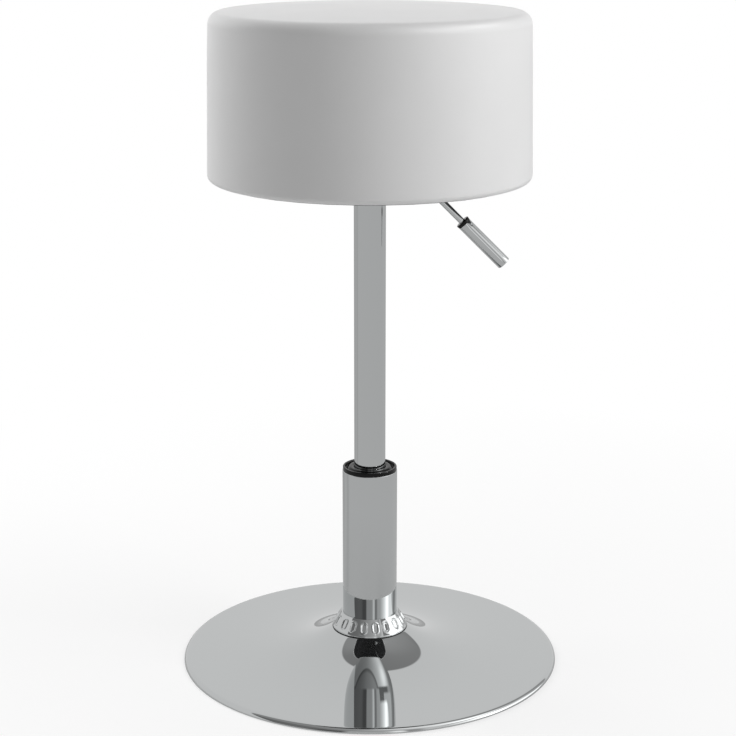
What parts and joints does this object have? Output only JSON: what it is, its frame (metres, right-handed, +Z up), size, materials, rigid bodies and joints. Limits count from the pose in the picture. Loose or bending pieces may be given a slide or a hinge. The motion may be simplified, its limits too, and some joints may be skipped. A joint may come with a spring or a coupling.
{
  "type": "vanity stool",
  "caption": "Round padded vanity stool on a chromed gas-lift column and dish base, with a hand lever under the seat.",
  "frame": {"origin": "on the floor under the middle of the round base and the column", "axes": "+Z up along the column; +X towards the side where the release lever hangs; +Y away from the viewer of the front"},
  "size_m": [0.356, 0.356, 0.6148],
  "materials": {
    "chrome": "mirror-bright chrome plating",
    "steel": "bright zinc-plated steel",
    "black_steel": "black powder coat, satin",
    "iron": "grey cast iron, painted",
    "brass": "turned brass",
    "black_plastic": "glossy black moulding",
    "white_plastic": "natural acetal",
    "rubber": "black rubber",
    "leatherette": "smooth white leatherette, soft sheen",
    "foam": "upholstery foam",
    "wadding": "soft polyester wadding",
    "cloth": "black non-woven cloth",
    "plywood": "birch plywood"
  },
  "bodies": {
    "base": {"base_cover": "chrome", "ballast_ring": "iron", "bottom_plate": "black_steel", "flange_screws": "steel", "ballast_screws": "steel", "floor_pads": "rubber", "collar": "chrome", "collar_gasket": "rubber", "outer_tube": "chrome", "tube_flange": "black_steel", "tube_floor": "black_steel", "guide_bush": "white_plastic", "wiper_ring": "rubber", "top_cap": "black_plastic", "lower_race": "steel"},
    "cage": {"ball_cage": "white_plastic", "bearing_balls": "steel"},
    "spindle": {"upper_race": "steel", "piston_rod": "steel", "piston": "brass", "piston_seal": "rubber", "piston_nut": "steel", "bump_stop": "rubber", "clip_washer": "steel", "retaining_clip": "steel"},
    "column": {"gas_cylinder": "chrome", "rod_guide": "brass", "rod_seal": "rubber", "valve_body": "brass", "lift_socket": "black_steel", "seat_plate": "black_steel", "lever_bracket": "steel", "pivot_pin": "steel", "plate_bolts": "steel", "plate_washers": "steel", "tee_nuts": "steel", "seat_board": "plywood", "edge_wrap": "wadding", "foam_block": "foam", "soft_pad": "wadding", "seat_cover": "leatherette", "dust_cloth": "cloth", "staples": "steel"},
    "lever": {"lever_rod": "chrome", "lever_grip": "chrome", "grip_bush": "black_plastic"},
    "button": {"release_pin": "steel"}
  },
  "joints": [
    {"name": "swivel", "type": "hinge", "parent": "base", "child": "spindle", "pos_m": [0, 0, 0.02], "axis": [0, 0, 1], "continuous": true},
    {"name": "cage_spin", "type": "hinge", "parent": "base", "child": "cage", "pos_m": [0, 0, 0.017], "axis": [0, 0, 1], "continuous": true},
    {"name": "lift", "type": "slide", "parent": "spindle", "child": "column", "axis": [0, 0, 1], "range_m": [-0.11, 0]},
    {"name": "lever_lift", "type": "hinge", "parent": "column", "child": "lever", "pos_m": [0.025, 0, 0.4724], "axis": [0, -1, 0], "range_deg": [0, 5], "stiffness_Nm_per_rad": 3, "springref_deg": -2.86},
    {"name": "valve_press", "type": "slide", "parent": "column", "child": "button", "axis": [0, 0, -1], "range_m": [0, 0.0023]}
  ],
  "couplings": [
    {"joint": "cage_spin", "follows": "swivel", "ratio": 0.5},
    {"joint": "valve_press", "follows": "lever_lift", "m_per_rad": 0.025}
  ]
}
